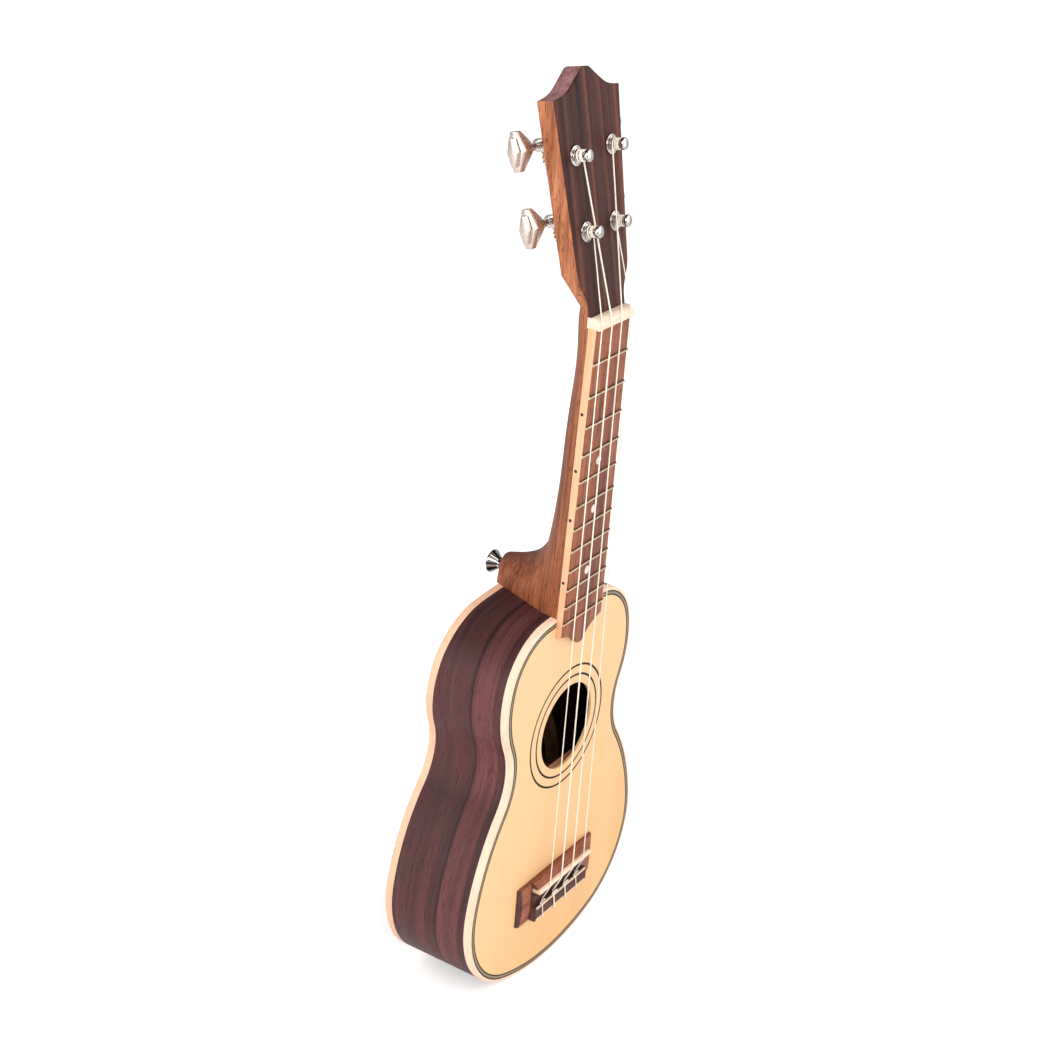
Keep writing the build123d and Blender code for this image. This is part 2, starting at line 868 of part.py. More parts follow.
with BuildPart() as saddle:
    with BuildSketch(Plane.YZ):
        with BuildLine():
            front = saddle_z + saddle_thick / 2
            rear = saddle_z - saddle_thick / 2
            Polyline(
                (face_y - saddle_top + 0.7, front),
                (face_y - 3.4, front),
                (face_y - 3.4, rear),
                (face_y - saddle_top + 0.7, rear),
            )
            ThreePointArc(
                (face_y - saddle_top + 0.7, rear),
                (face_y - saddle_top, saddle_z),
                (face_y - saddle_top + 0.7, front),
            )
        make_face()
    extrude(amount=block_half - 0.3, both=True)
    for k in range(4):
        add(string_groove(string_route(k)[0:3], 3.0, k), mode=Mode.SUBTRACT)

# ---------------------------------------------------------------- strap button
strap_seat = Plane(origin=(0, face_y + heel_depth, strap_z), x_dir=(1, 0, 0), z_dir=(0, 1, 0))
with BuildPart() as strap_button:
    with BuildSketch(Plane(origin=strap_seat.origin, x_dir=(1, 0, 0), z_dir=(0, 0, -1))):
        with BuildLine():
            Polyline(
                (1.6, 0),
                (4.3, 0),
                (4.3, -0.7),
                (3.25, -1.6),
                (3.25, -3.0),
                (6.5, -7.2),
                (6.8, -7.6),
                (6.8, -8.3),
                (6.2, -8.8),
                (3.1, -8.8),
                (1.6, -7.3),
                close=True,
            )
        make_face()
    revolve(axis=Axis(strap_seat.origin, (0, 1, 0)))

with BuildPart() as strap_button_screw:
    with BuildSketch(Plane(origin=strap_seat.origin, x_dir=(1, 0, 0), z_dir=(0, 0, -1))):
        with BuildLine():
            Polyline(
                (0, -8.7),
                (3.0, -8.7),
                (1.5, -7.2),
                (1.5, 13.0),
                (0, 16.0),
                close=True,
            )
        make_face()
    revolve(axis=Axis(strap_seat.origin, (0, 1, 0)))
    with BuildSketch(strap_seat.offset(8.7)):
        Rectangle(3.4, 0.7)
        Rectangle(0.7, 3.4)
    extrude(amount=-1.0, mode=Mode.SUBTRACT)

# ---------------------------------------------------------------- one tuner, post axis at the origin
# Local frame of a tuner: x towards the treble, y up the headstock, z out of its front.
worm_plane = Plane(origin=(0, worm_offset, -worm_depth), x_dir=(0, -1, 0), z_dir=(1, 0, 0))
lug_inner = 8.2
lug_outer = 9.7
thread_half = 4.6
shaft_radius = 1.5
worm_outer = worm_pitch_radius + 0.575
worm_root = worm_pitch_radius - 0.725
gear_outer = gear_pitch_radius + 0.55
gear_root = gear_pitch_radius - 0.75
gear_half_thick = 1.2
plate_back = -head_thick - 1.0

with BuildPart() as worm_unit:
    with BuildSketch(Plane(origin=worm_plane.origin, x_dir=(1, 0, 0), z_dir=(0, 0, 1))):
        with BuildLine():
            Polyline(
                (-20.0, 0),
                (-20.0, shaft_radius),
                (-lug_inner + running, shaft_radius),
                (-lug_inner + running, 2.2),
                (-6.6, 2.2),
                (-5.4, worm_root),
                (5.4, worm_root),
                (6.6, 2.2),
                (lug_inner - running, 2.2),
                (lug_inner - running, shaft_radius),
                (lug_outer + 1.0, shaft_radius),
                (lug_outer + 1.0, 0),
                close=True,
            )
        make_face()
    revolve(axis=Axis(worm_plane.origin, (1, 0, 0)))

with BuildPart() as thread:
    with BuildLine() as path:
        Helix(pitch=thread_pitch, height=2 * thread_half, radius=worm_root)
    with BuildSketch(Plane.XZ) as tooth:
        with BuildLine():
            Polyline(
                (worm_root - 0.25, -0.68),
                (worm_root - 0.25, 0.68),
                (worm_outer, 0.3),
                (worm_outer, -0.3),
                close=True,
            )
        make_face()
    sweep(sections=tooth.sketch, path=path.wires()[0], is_frenet=True)

with BuildPart() as worm_whole:
    add(worm_unit.part)
    with Locations(worm_plane.offset(-thread_half).location):
        add(thread.part)

with BuildPart() as gear_unit:
    with BuildSketch(Plane.XY.offset(-worm_depth - gear_half_thick)):
        Circle(gear_root)
        with BuildLine() as tooth_edge:
            Polyline(
                (0.62, gear_root - 0.3),
                (0.42, gear_pitch_radius),
                (0.26, gear_outer),
                (-0.26, gear_outer),
                (-0.42, gear_pitch_radius),
                (-0.62, gear_root - 0.3),
                close=True,
            )
        with BuildSketch(mode=Mode.PRIVATE) as tooth:
            make_face(tooth_edge.edges())
        with PolarLocations(0, gear_teeth, start_angle=180 / gear_teeth):
            add(tooth.sketch)
    extrude(amount=2 * gear_half_thick)
    with BuildSketch(Plane.XY.offset(-worm_depth + gear_half_thick)):
        Circle(3.0)
    extrude(amount=worm_depth - gear_half_thick + plate_back - 0.1)
    with BuildSketch(Plane.XY.offset(-worm_depth - gear_half_thick)):
        Rectangle(3.24, 3.24)
    extrude(amount=20, mode=Mode.SUBTRACT)

square_top = plate_back - 0.1
post_end = -worm_depth - gear_half_thick + 0.1
post_tip = 9.3

with BuildPart() as post_unit:
    with BuildSketch(Plane.XZ):
        with BuildLine():
            Polyline(
                (0, square_top),
                (2.35, square_top),
                (2.35, -head_thick + 0.1),
                (post_radius, -head_thick + 0.1),
                (post_radius, 1.65),
                (2.3, 2.05),
                (2.3, 6.5),
                (3.0, 7.1),
                (3.3, 7.5),
                (3.3, 8.7),
                (2.9, 9.15),
                (2.2, post_tip),
                (0, post_tip),
                close=True,
            )
        make_face()
    revolve(axis=Axis.Z)
    with BuildSketch(Plane.XY.offset(post_end)):
        Rectangle(3.2, 3.2)
    extrude(amount=square_top - post_end)
    with BuildSketch(Plane.XY.offset(post_end)):
        Circle(1.0)
    extrude(amount=4.5, mode=Mode.SUBTRACT)
    with BuildSketch(Plane.YZ):
        with Locations((0, 6.2)):
            Circle(0.6)
    extrude(amount=4, both=True, mode=Mode.SUBTRACT)

with BuildPart() as gear_screw_unit:
    with BuildSketch(Plane.XY.offset(-worm_depth - gear_half_thick)):
        Circle(2.4)
    extrude(amount=-1.2)
    fillet(gear_screw_unit.faces().sort_by(Axis.Z)[0].edges(), radius=0.5)
    with BuildSketch(Plane.XY.offset(-worm_depth - gear_half_thick)):
        Circle(0.97)
    extrude(amount=4.2)
    with BuildSketch(Plane.XY.offset(-worm_depth - gear_half_thick - 1.2)):
        Rectangle(5, 0.6)
    extrude(amount=0.5, mode=Mode.SUBTRACT)

with BuildPart() as bushing_unit:
    with BuildSketch():
        Circle(bushing_radius)
        Circle(post_radius + running, mode=Mode.SUBTRACT)
    extrude(amount=-8)
    with BuildSketch():
        Circle(5.4)
        Circle(post_radius + running, mode=Mode.SUBTRACT)
    extrude(amount=1.0)
    fillet(bushing_unit.faces().sort_by(Axis.Z)[-1].edges().sort_by(SortBy.RADIUS)[-1], radius=0.45)
    with BuildSketch(Plane.XY.offset(1.0)):
        Circle(4.1)
        Circle(post_radius + running, mode=Mode.SUBTRACT)
    extrude(amount=0.5)

with BuildPart() as plate_unit:
    with BuildSketch(Plane.XY.offset(plate_back)):
        with Locations((0, 2.6)):
            RectangleRounded(2 * lug_outer, 25.6, 3.2)
    extrude(amount=1.0)
    for side in (-1, 1):
        with BuildSketch(Plane.YZ.offset(side * lug_outer)) as lug:
            with Locations((worm_offset, -worm_depth)):
                Circle(3.5)
            with Locations((worm_offset, (plate_back - worm_depth) / 2)):
                Rectangle(7.0, worm_depth + plate_back)
        extrude(amount=-side * (lug_outer - lug_inner))
    with BuildSketch(Plane.YZ.offset(-lug_outer)):
        with Locations((worm_offset, -worm_depth)):
            Circle(2.4)
    extrude(amount=-0.8)
    with BuildSketch(Plane.YZ.offset(-lug_outer - 2)):
        with Locations((worm_offset, -worm_depth)):
            Circle(shaft_radius + running)
    extrude(amount=2 * lug_outer + 6, mode=Mode.SUBTRACT)
    with BuildSketch(Plane.XY.offset(plate_back)):
        Circle(2.4)
    extrude(amount=2, mode=Mode.SUBTRACT)
    with BuildSketch(Plane.XY.offset(plate_back)):
        with Locations(*[(dx, ds) for dx, ds in screw_offsets]):
            Circle(1.25)
    extrude(amount=2, mode=Mode.SUBTRACT)

with BuildPart() as plate_screw_unit:
    with BuildSketch(Plane.XZ):
        with BuildLine():
            Polyline(
                (0, plate_back - 1.0),
                (1.2, plate_back - 0.9),
                (2.2, plate_back - 0.02),
                (1.2, plate_back - 0.02),
                (1.2, -head_thick - 0.02),
                (0.78, -head_thick - 0.02),
                (0.78, -head_thick + 4.6),
                (0, -head_thick + 5.8),
                close=True,
            )
        make_face()
    revolve(axis=Axis.Z)
    with BuildSketch(Plane.XY.offset(plate_back - 1.0)):
        Rectangle(2.6, 0.5)
        Rectangle(0.5, 2.6)
    extrude(amount=0.5, mode=Mode.SUBTRACT)

button_start = -15.2
# distance from the post, half length, half width of the tip flat, half width at the middle
button_sections = [
    (button_start, 2.0, 0.9, 1.9),
    (button_start - 11.2, 10.1, 1.7, 4.6),
    (button_start - 12.6, 10.1, 1.7, 4.6),
    (button_start - 15.4, 7.2, 1.0, 2.9),
]

with BuildPart() as button_unit:
    faces = []
    for x, half_long, half_tip, half_mid in button_sections:
        across = Plane(origin=(x, worm_offset, -worm_depth), x_dir=(0, 1, 0), z_dir=(1, 0, 0))
        with BuildSketch(across) as cut:
            with BuildLine() as edge:
                Polyline(
                    (half_long, half_tip),
                    (0, half_mid),
                    (-half_long, half_tip),
                    (-half_long, -half_tip),
                    (0, -half_mid),
                    (half_long, -half_tip),
                    close=True,
                )
            make_face()
        faces.append(cut.sketch)
    loft(sections=faces, ruled=True)
    with BuildSketch(Plane.YZ.offset(button_start + 0.6)):
        with Locations((worm_offset, -worm_depth)):
            Circle(2.05)
    extrude(amount=-2.6)
    with BuildSketch(Plane.YZ.offset(button_start + 1)):
        with Locations((worm_offset, -worm_depth)):
            Circle(shaft_radius)
    extrude(amount=-(20.0 + button_start + 1), mode=Mode.SUBTRACT)

turning_units = {
    "worm": worm_whole.part,
    "button": button_unit.part,
    "gear": gear_unit.part,
    "gear_screw": gear_screw_unit.part,
    "post": post_unit.part,
}


def placed(unit, side, px, ps):
    """A tuner piece on the headstock; the treble side is the mirror image of the bass side."""
    piece = unit if side < 0 else unit.mirror(Plane.YZ)
    plane = Plane(
        origin=head_front.from_local_coords((px, ps, 0)),
        x_dir=head_front.x_dir,
        z_dir=head_front.z_dir,
    )
    return plane.location * piece


pieces = {}
for k, (name, side, px, ps) in enumerate(post_places()):
    for kind, unit in turning_units.items():
        pieces[f"{kind}_{name}"] = [placed(unit, side, px, ps)]
    pieces[f"string_{name}"] = [string_parts[k]]
    pieces[f"string_{name}_coil"] = [coil_parts[k]]

pieces.update(
    {
        "tuner_plates": [placed(plate_unit.part, *place[1:]) for place in post_places()],
        "post_bushings": [placed(bushing_unit.part, *place[1:]) for place in post_places()],
        "tuner_plate_screws": [placed(plate_screw_unit.part, -1, *spot) for spot in screw_points()],
        "soundboard": [soundboard.part],
        "rosette_rings": [rosette_rings.part],
        "top_purfling": purfling_strips,
        "back_plate": [back_plate.part],
        "side_bass": [side_bass.part],
        "side_treble": [side_treble.part],
        "top_binding": [top_binding.part],
        "back_binding": [back_binding.part],
        "neck_block": [neck_block.part],
        "tail_block": [tail_block.part],
        "top_lining": [top_lining.part],
        "back_lining": [back_lining.part],
        "top_braces": [top_braces.part],
        "bridge_plate": [bridge_plate.part],
        "back_braces": [back_braces.part],
        "neck": [neck.part],
        "head_veneer": [head_veneer.part],
        "fretboard": [fretboard.part],
        "fretboard_bindings": [fretboard_bindings.part],
        "frets": [frets.part],
        "fret_dots": [fret_dots.part],
        "side_dots": [side_dots.part],
        "nut": [nut.part],
        "bridge": [bridge.part],
        "saddle": [saddle.part],
        "tie_block_trims": [tie_block_trims.part],
        "strap_button": [strap_button.part],
        "strap_button_screw": [strap_button_screw.part],
    }
)

for name, shapes in pieces.items():
    solids = [solid for shape in shapes for solid in shape.solids()]
    body = solids[0] if len(solids) == 1 else Compound(children=solids)
    body.label = name
    export_step(body, f"parts/{name}.step")
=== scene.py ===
import json
import math

import bmesh
import bpy
from mathutils import Matrix, Vector


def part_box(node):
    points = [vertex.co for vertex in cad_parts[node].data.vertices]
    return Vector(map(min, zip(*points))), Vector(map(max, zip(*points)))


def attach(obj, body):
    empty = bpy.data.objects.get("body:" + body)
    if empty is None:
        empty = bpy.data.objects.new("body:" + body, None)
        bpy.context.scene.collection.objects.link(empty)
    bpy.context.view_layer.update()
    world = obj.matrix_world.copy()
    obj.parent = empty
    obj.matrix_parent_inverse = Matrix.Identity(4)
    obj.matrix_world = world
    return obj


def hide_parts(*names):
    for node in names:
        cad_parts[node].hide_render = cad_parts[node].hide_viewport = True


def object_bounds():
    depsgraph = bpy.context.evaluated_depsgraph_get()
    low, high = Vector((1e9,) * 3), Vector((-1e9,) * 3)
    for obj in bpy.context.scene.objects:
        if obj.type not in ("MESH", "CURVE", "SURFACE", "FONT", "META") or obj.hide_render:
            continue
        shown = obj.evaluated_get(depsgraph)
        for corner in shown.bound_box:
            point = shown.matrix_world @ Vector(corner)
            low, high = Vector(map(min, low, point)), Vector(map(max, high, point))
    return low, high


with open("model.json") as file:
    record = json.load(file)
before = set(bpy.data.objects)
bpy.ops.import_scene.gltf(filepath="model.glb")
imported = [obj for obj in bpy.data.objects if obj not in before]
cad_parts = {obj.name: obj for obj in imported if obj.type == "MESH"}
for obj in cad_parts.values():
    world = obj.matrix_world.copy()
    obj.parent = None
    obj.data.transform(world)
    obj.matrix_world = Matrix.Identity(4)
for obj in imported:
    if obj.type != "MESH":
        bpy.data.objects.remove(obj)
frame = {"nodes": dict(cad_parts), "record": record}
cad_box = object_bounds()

MM = 0.001
STRINGS = ("g", "c", "e", "a")

# ------------------------------------------------------------------ places, all from the frame
front_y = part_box("soundboard")[0].y          # soundboard plane, facing -Y
tail_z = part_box("top_binding")[0].z
floor_z = cad_box[0][2]
strap_z = (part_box("strap_button")[0].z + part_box("strap_button")[1].z) / 2

# Body outline, outer edge of the binding: radius in millimetres and turn in degrees, tail first.
ARCS = ((142.5, 20.0), (59.4, 79.8), (138.6, 25.65), (-38.7, 61.05), (58.0, 41.05), (38.6, 68.75))
BACK_FLAT_TOP = 20.0 * MM
BACK_RADIUS = 1150.0 * MM
BINDING_WIDE = 2.0 * MM
TOP_BINDING_DEEP = 4.4 * MM
BACK_BINDING_DEEP = 5.0 * MM
HEAD_TILT = 12.0              # degrees, backwards from the neck


# ------------------------------------------------------------------ node materials
class Paint:
    """Builds one node material. Positions are millimetres in the piece's own frame."""

    def __init__(self, name):
        self.material = bpy.data.materials.new(name)
        self.material.use_nodes = True
        self.tree = self.material.node_tree
        self.tree.nodes.clear()
        self.coordinates = self.node("ShaderNodeTexCoord")

    def node(self, kind, **settings):
        made = self.tree.nodes.new(kind)
        for key, value in settings.items():
            setattr(made, key, value)
        return made

    def feed(self, socket, value):
        """Link a socket, or set its value when value is a plain number or tuple."""
        if isinstance(value, bpy.types.NodeSocket):
            self.tree.links.new(value, socket)
        elif isinstance(value, (tuple, list)) and socket.type == "RGBA":
            socket.default_value = tuple(value)[:3] + (1.0,)
        else:
            socket.default_value = value
        return socket

    def place(self, scale, source="Object", shift=(0, 0, 0), turn=(0, 0, 0)):
        """Coordinates times scale (cycles per millimetre along each axis)."""
        mapping = self.node("ShaderNodeMapping")
        self.feed(mapping.inputs["Vector"], self.coordinates.outputs[source] if isinstance(source, str) else source)
        mapping.inputs["Location"].default_value = shift
        mapping.inputs["Rotation"].default_value = turn
        mapping.inputs["Scale"].default_value = tuple(s / MM for s in scale)
        return mapping.outputs["Vector"]

    def turned(self, degrees):
        """Object coordinates turned about X, so that Z runs along a tilted piece."""
        mapping = self.node("ShaderNodeMapping")
        self.feed(mapping.inputs["Vector"], self.coordinates.outputs["Object"])
        mapping.inputs["Rotation"].default_value = (math.radians(degrees), 0.0, 0.0)
        return mapping.outputs["Vector"]

    def noise(self, vector, detail=2.0, rough=0.5, bend=0.0):
        made = self.node("ShaderNodeTexNoise")
        self.feed(made.inputs["Vector"], vector)
        made.inputs["Scale"].default_value = 1.0
        made.inputs["Detail"].default_value = detail
        made.inputs["Roughness"].default_value = rough
        made.inputs["Distortion"].default_value = bend
        return made.outputs["Fac"]

    def maths(self, operation, *values):
        made = self.node("ShaderNodeMath", operation=operation)
        for socket, value in zip(made.inputs, values):
            self.feed(socket, value)
        return made.outputs[0]

    def band(self, value, low, high, to_low=0.0, to_high=1.0):
        """Smooth step from to_low to to_high while value goes from low to high."""
        made = self.node("ShaderNodeMapRange", interpolation_type="SMOOTHSTEP")
        for name, number in zip(("Value", "From Min", "From Max", "To Min", "To Max"), (value, low, high, to_low, to_high)):
            self.feed(made.inputs[name], number)
        return made.outputs["Result"]

    def ramp(self, value, *stops):
        """Colour ramp from (position, colour) stops."""
        made = self.node("ShaderNodeValToRGB")
        self.feed(made.inputs["Fac"], value)
        elements = made.color_ramp.elements
        while len(elements) < len(stops):
            elements.new(0.5)
        for element, (position, colour) in zip(elements, stops):
            element.position = position
            element.color = tuple(colour) + (1.0,)
        return made.outputs["Color"]

    def mix(self, amount, first, second, blend="MIX"):
        made = self.node("ShaderNodeMix", data_type="RGBA", blend_type=blend)
        self.feed(made.inputs[0], amount)
        self.feed(made.inputs[6], first)
        self.feed(made.inputs[7], second)
        return made.outputs[2]

    def grey(self, value):
        """Grey colour of a given brightness."""
        made = self.node("ShaderNodeCombineColor")
        for socket in made.inputs:
            self.feed(socket, value)
        return made.outputs[0]

    def stripe(self, value, middle, half, edge):
        """One inside a stripe, nought outside, with soft edges."""
        distance = self.maths("ABSOLUTE", self.maths("SUBTRACT", value, middle))
        return self.band(distance, half + edge, half)

    def bump(self, height, depth_mm, normal=None):
        made = self.node("ShaderNodeBump")
        made.inputs["Strength"].default_value = 1.0
        made.inputs["Distance"].default_value = depth_mm * MM
        self.feed(made.inputs["Height"], height)
        if normal is not None:
            self.feed(made.inputs["Normal"], normal)
        return made.outputs["Normal"]

    def edges(self, radius_mm):
        """One on the worn edges of a piece, nought on its faces."""
        bevel = self.node("ShaderNodeBevel", samples=4)
        bevel.inputs["Radius"].default_value = radius_mm * MM
        geometry = self.node("ShaderNodeNewGeometry")
        dot = self.node("ShaderNodeVectorMath", operation="DOT_PRODUCT")
        self.feed(dot.inputs[0], bevel.outputs["Normal"])
        self.feed(dot.inputs[1], geometry.outputs["Normal"])
        return self.band(dot.outputs["Value"], 0.98, 0.80)

    def facing(self, axis):
        """How far the surface faces along X, Y or Z in the piece's own frame, from -1 to 1."""
        split = self.node("ShaderNodeSeparateXYZ")
        self.feed(split.inputs[0], self.coordinates.outputs["Normal"])
        return split.outputs[axis]

    def position(self, axis, source="Object"):
        """One coordinate in millimetres."""
        split = self.node("ShaderNodeSeparateXYZ")
        self.feed(split.inputs[0], self.coordinates.outputs[source])
        return self.maths("MULTIPLY", split.outputs[axis], 1.0 / MM)

    def finish(self, colour, roughness, normal=None, **inputs):
        shader = self.node("ShaderNodeBsdfPrincipled")
        self.feed(shader.inputs["Base Color"], colour)
        self.feed(shader.inputs["Roughness"], roughness)
        if normal is not None:
            self.feed(shader.inputs["Normal"], normal)
        for name, value in inputs.items():
            self.feed(shader.inputs[name.replace("_", " ")], value)
        output = self.node("ShaderNodeOutputMaterial")
        self.tree.links.new(shader.outputs["BSDF"], output.inputs["Surface"])
        return self.material


def srgb(red, green, blue):
    """Scene-linear colour from 0-255 display values."""
    return tuple(
        (v / 255 / 12.92) if v <= 10.3 else ((v / 255 + 0.055) / 1.055) ** 2.4
        for v in (red, green, blue)
    )


def wood(name, dark, middle, light, along="Z", figure=12.0, line=2.4, pores=0.5, source="Object",
         bend=0.6, gloss=0.4, lacquer=0.15, tone=None, contrast=1.0, straight=1.0, rub=0.03, tilt=None):
    """Grained wood: broad figure, growth lines, fine fibres and pores that all run along one axis."""
    paint = Paint(name)
    run = {"X": 0, "Y": 1, "Z": 2}[along]
    if tilt is not None:
        source = paint.turned(tilt)

    def grain(period, stretch, shift=0.0):
        scale = [1.0 / period] * 3
        scale[run] = 1.0 / (period * stretch * straight)
        return paint.place(scale, source, (shift, shift * 1.7, shift * 0.6))

    broad = paint.noise(grain(figure, 16.0), 2.0, 0.5, bend)
    lines = paint.noise(grain(line, 45.0, 3.1), 3.0, 0.6, bend * 0.6)
    fibre = paint.noise(grain(0.32, 50.0, 7.7), 2.0, 0.6)
    dashes = paint.noise(grain(0.7, 9.0 / straight, 12.3), 1.0, 0.5)
    handled = paint.noise(paint.place((0.03, 0.03, 0.03), source, (6, 2, 9)), 3.0, 0.6)
    mixed = paint.maths("ADD", paint.maths("MULTIPLY", broad, 0.5), paint.maths("MULTIPLY", lines, 0.5))
    spread = 0.16 / contrast
    colour = paint.ramp(mixed, (0.5 - spread, dark), (0.5, middle), (0.5 + spread, light))
    if tone is not None:
        colour = paint.mix(1.0, colour, tone(paint), "MULTIPLY")
    shade = paint.maths("MULTIPLY", paint.band(fibre, 0.3, 0.7, 0.88, 1.08), paint.band(handled, 0.3, 0.7, 1.0 - rub, 1.0 + rub))
    colour = paint.mix(1.0, colour, paint.grey(shade), "MULTIPLY")
    pore = paint.band(dashes, 0.60, 0.70)
    colour = paint.mix(paint.maths("MULTIPLY", pore, pores), colour, tuple(c * 0.4 for c in dark))
    height = paint.maths("SUBTRACT", paint.maths("MULTIPLY", fibre, 0.35), paint.maths("MULTIPLY", pore, pores))
    rough = paint.maths("ADD", paint.band(lines, 0.3, 0.7, gloss - 0.04, gloss + 0.06),
                        paint.band(handled, 0.45, 0.75, 0.0, 0.10))
    return paint.finish(
        colour, rough, paint.bump(height, 0.03),
        Coat_Weight=lacquer, Coat_Roughness=0.35, Specular_IOR_Level=0.2,
    )


def spruce():
    """Soundboard: straight fine growth lines, faint cross silk, warm amber lacquer, painted light towards the upper
    left, painted shade on the inner face.
    """
    paint = Paint("spruce_top_wood")
    wander = paint.noise(paint.place((0.02, 0.02, 0.004)), 2.0)
    x = paint.maths("ABSOLUTE", paint.position(0))
    x = paint.maths("ADD", x, paint.maths("MULTIPLY", wander, 5.0))
    spacing = paint.noise(paint.place((0.035, 0.035, 0.0008), shift=(5, 5, 5)), 1.0)
    turns = paint.maths("DIVIDE", x, paint.band(spacing, 0.3, 0.7, 1.25, 1.45))
    wave = paint.maths("FRACT", turns)
    late = paint.band(wave, 0.55, 0.95)
    late = paint.maths("SUBTRACT", late, paint.band(wave, 0.95, 1.0))
    strength = paint.noise(paint.place((0.3, 0.3, 0.002), shift=(9, 3, 1)), 2.0)
    late = paint.maths("MULTIPLY", late, paint.band(strength, 0.3, 0.75, 0.15, 0.85))
    broad = paint.noise(paint.place((0.03, 0.03, 0.005), shift=(2, 8, 4)), 3.0)
    silk = paint.noise(paint.place((0.25, 0.25, 0.9), shift=(1, 1, 6)), 3.0, 0.6, 0.5)
    fibre = paint.noise(paint.place((3.0, 3.0, 0.05), shift=(3, 2, 1)), 2.0, 0.6)
    colour = paint.ramp(
        broad,
        (0.30, srgb(225, 174, 115)),
        (0.50, srgb(230, 181, 123)),
        (0.72, srgb(234, 188, 132)),
    )
    # Painted light: the top is lighter towards the upper left and darker towards the lower right.
    painted_light_slope = paint.maths("SUBTRACT", paint.position(2), paint.position(0))
    colour = paint.mix(paint.band(painted_light_slope, -140, 200), colour, srgb(237, 194, 145))
    colour = paint.mix(paint.maths("MULTIPLY", late, 0.24), colour, srgb(204, 140, 88))
    colour = paint.mix(paint.band(silk, 0.55, 0.75, 0.0, 0.10), colour, srgb(255, 226, 186))
    colour = paint.mix(paint.band(fibre, 0.3, 0.7, 0.0, 0.06), colour, srgb(190, 130, 84))
    # Painted shade: the soundboard's inner face, inside the body, is darkened.
    inside = paint.band(paint.facing(1), 0.4, 0.7)
    colour = paint.mix(inside, colour, srgb(96, 66, 44))
    height = paint.maths("ADD", paint.maths("MULTIPLY", late, 0.5), paint.maths("MULTIPLY", fibre, 0.3))
    return paint.finish(
        colour, paint.band(silk, 0.3, 0.7, 0.40, 0.50), paint.bump(height, 0.012),
        Coat_Weight=0.15, Coat_Roughness=0.3, Specular_IOR_Level=0.3,
    )


def side_tone_and_shade(paint):
    """Broad soft streaks over the sides, redder towards the front, painted shade on upward faces and on the inner
    faces.
    """
    streak = paint.noise(paint.place((0.003, 0.13, 0.012), "UV", (4, 2, 0)), 3.0, 0.5)
    colour = paint.ramp(
        streak, (0.34, (0.72, 0.72, 0.78)), (0.48, (0.98, 0.96, 0.98)), (0.66, (1.14, 1.02, 0.98))
    )
    wander = paint.noise(paint.place((0.008, 0.0, 0.0), "UV", (3, 3, 3)), 2.0)
    across = paint.maths("ADD", paint.position(1, "UV"), paint.maths("MULTIPLY", wander, 6.0))
    colour = paint.mix(paint.stripe(across, 15.0, 6.5, 2.0), colour, paint.mix(1.0, colour, (1.40, 1.31, 1.24), "MULTIPLY"))
    colour = paint.mix(paint.stripe(across, 23.0, 0.3, 0.6), colour, (0.46, 0.44, 0.48))
    # Painted shade: faces of the sides that look upwards are darkened.
    upward_painted_shade = paint.band(paint.facing(2), 0.0, 0.9)
    colour = paint.mix(upward_painted_shade, colour, paint.mix(1.0, colour, (0.58, 0.52, 0.50), "MULTIPLY"))
    # Painted shade: the inner faces of the side panels, inside the body, are darkened.
    return paint.mix(paint.band(paint.position(1, "UV"), 52, 54), colour, (0.3, 0.28, 0.26))


def back_inner_shade(paint):
    """Painted shade: darkened on the inside of the body."""
    return paint.mix(paint.band(paint.facing(1), 0.2, -0.2), (1.0, 1.0, 1.0), (0.25, 0.22, 0.2))


def neck_tone_light_and_shade(paint):
    """Orange headstock painted brighter than the redder shaft as painted light, brown heel with painted shade on
    its top, end grain on the sawn crown.
    """
    z = paint.position(2)
    # Painted light: the headstock is brighter than the shaft, as where the light falls strongly.
    colour = paint.mix(paint.band(z, 330, 375), (0.56, 0.54, 0.56), (0.80, 0.80, 0.80))
    colour = paint.mix(paint.band(z, 225, 195), colour, (0.54, 0.45, 0.42))
    upward = paint.facing(2)
    # Painted shade: the heel's upward faces, under the neck, are darkened.
    heel_top_shade = paint.maths("MULTIPLY", paint.band(upward, 0.15, 0.75), paint.band(z, 250, 225))
    colour = paint.mix(heel_top_shade, colour, (0.26, 0.22, 0.26))
    crown = paint.maths("MULTIPLY", paint.band(upward, 0.2, 0.5), paint.band(z, 440, 455))
    return paint.mix(crown, colour, (0.50, 0.66, 1.45))


def bridge_tone_and_shade(paint):
    """Reddish front ramp and wings; near-black string channel and tie block, partly their own dark colour and
    partly painted shade in the channel.
    """
    # Partly painted shade: the channel and tie block are darkened, for the shade in the channel as well as the
    # block's own dark colour.
    low = paint.band(paint.position(2), -2.0, -3.5)
    centre = paint.band(paint.maths("ABSOLUTE", paint.position(0)), 29.5, 28.0)
    colour = paint.mix(paint.maths("MULTIPLY", low, centre), (1.0, 1.0, 1.0), (0.28, 0.34, 0.42))
    ends = paint.band(paint.maths("ABSOLUTE", paint.facing(0)), 0.3, 0.6)
    return paint.mix(ends, colour, (0.34, 0.42, 0.66))


def fretboard_tone(paint):
    """Orange, green-brown and dark patches from the board's figure."""
    patch = paint.noise(paint.place((0.16, 0.16, 0.012), shift=(7, 1, 2)), 3.0, 0.6, 0.8)
    return paint.ramp(
        patch, (0.32, (0.74, 0.74, 0.76)), (0.46, (0.98, 1.02, 0.92)), (0.56, (1.0, 1.0, 1.0)),
        (0.70, (1.14, 1.0, 0.86)),
    )


